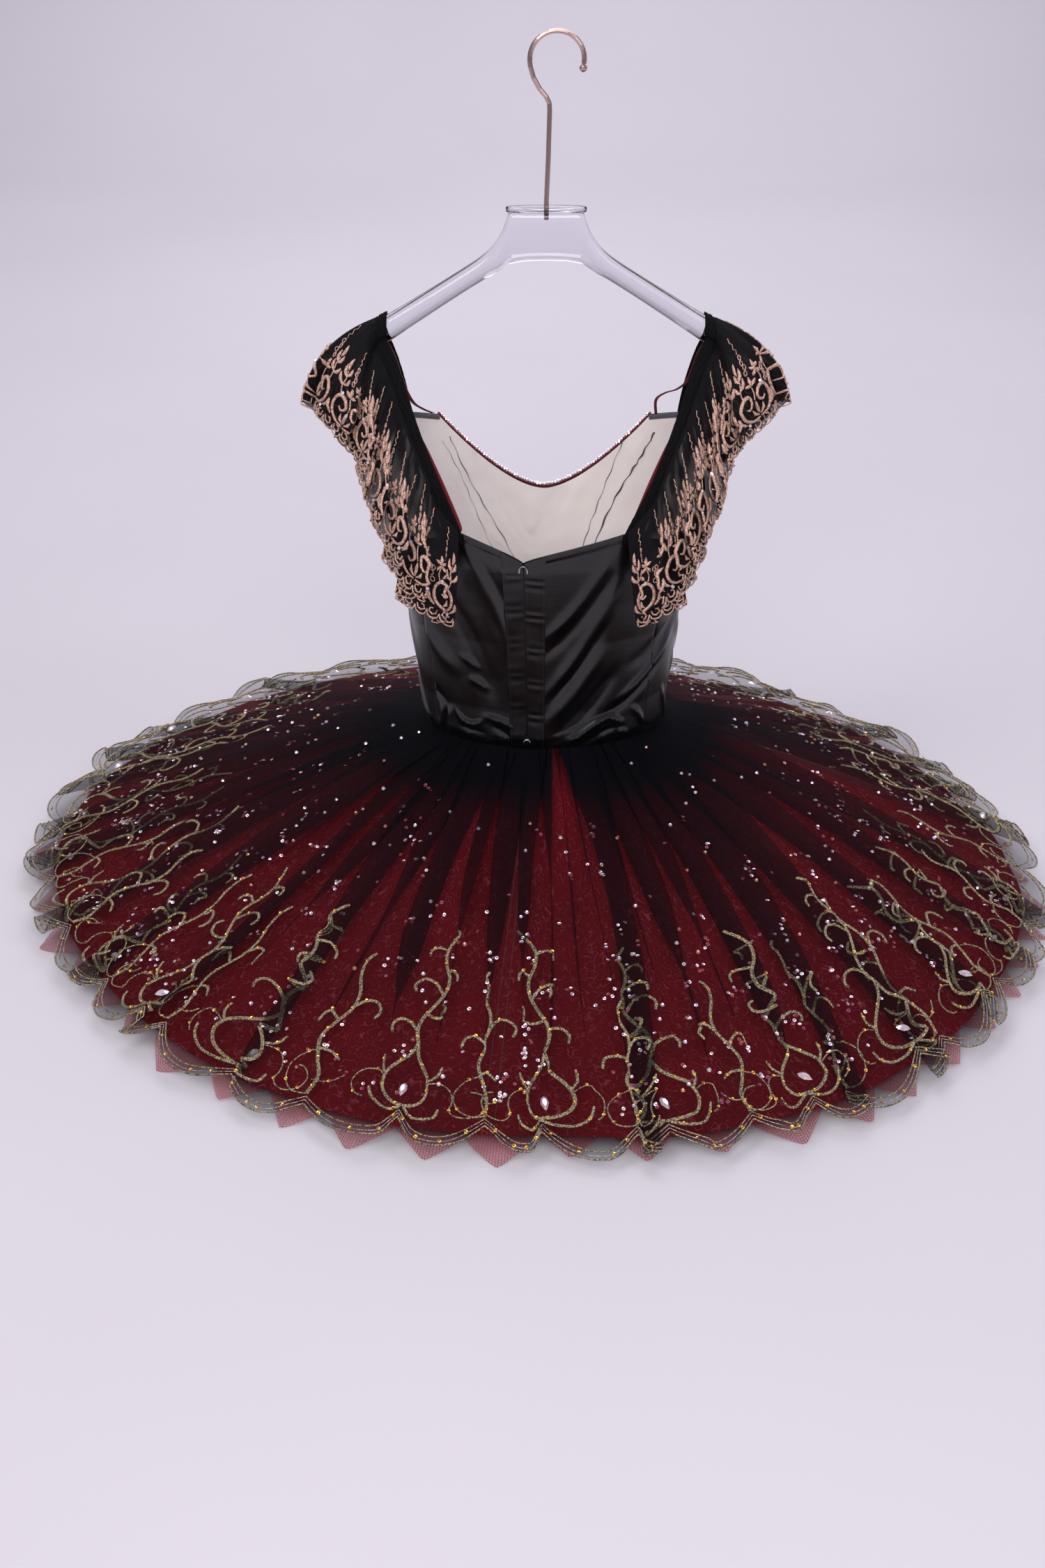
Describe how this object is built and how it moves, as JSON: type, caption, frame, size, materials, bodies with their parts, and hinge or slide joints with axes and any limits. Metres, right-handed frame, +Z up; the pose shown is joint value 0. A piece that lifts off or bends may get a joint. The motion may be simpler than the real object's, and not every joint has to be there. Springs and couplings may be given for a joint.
{
  "type": "ballet tutu on a hanger",
  "caption": "Ballet tutu with a black satin bodice, copper lace shoulder frills and a burgundy and black net skirt, held on a clear hanger.",
  "frame": {"origin": "inside top of the hanger's hook, where a rail bears on it", "axes": "+Z up, -Y out of the back of the bodice where the zip is, +X to the wearer's right"},
  "size_m": [1.0713, 1.0643, 0.8488],
  "materials": {
    "acrylic": "clear polished acrylic",
    "hook_wire": "rose-tinted plated wire",
    "satin": "black satin with a soft sheen",
    "lining": "cream cotton drill",
    "zip_tape": "woven tape",
    "clasp": "polished",
    "piping": "burgundy corded edge",
    "shoulder_band": "gathered black net",
    "strap": "burgundy velvet elastic",
    "lace": "black net with copper corded embroidery",
    "black_tulle": "sheer matt net with gold corded embroidery",
    "sequin_net": "burgundy net with small sequins",
    "burgundy_net": "stiff open net"
  },
  "bodies": {
    "root": {"hanger_body": "acrylic", "hanger_hook": "hook_wire", "hanger_hook_ball": "hook_wire", "bodice_back_left": "satin", "bodice_back_right": "satin", "bodice_side_right": "satin", "bodice_front_side_right": "satin", "bodice_front_centre": "satin", "bodice_front_side_left": "satin", "bodice_side_left": "satin", "lining_side_right": "lining", "lining_front_side_right": "lining", "lining_front_centre": "lining", "lining_front_side_left": "lining", "lining_side_left": "lining", "zip_tape": "zip_tape", "placket_left": "satin", "placket_right": "satin", "clasp_top": "clasp", "clasp_waist": "clasp", "neckline_piping": "piping", "shoulder_band_left": "shoulder_band", "shoulder_strap_left": "strap", "lace_frill_left": "lace", "shoulder_band_right": "shoulder_band", "shoulder_strap_right": "strap", "lace_frill_right": "lace", "skirt_overlay": "black_tulle", "skirt_sequin_layer": "sequin_net", "skirt_net": "burgundy_net"}
  },
  "joints": []
}
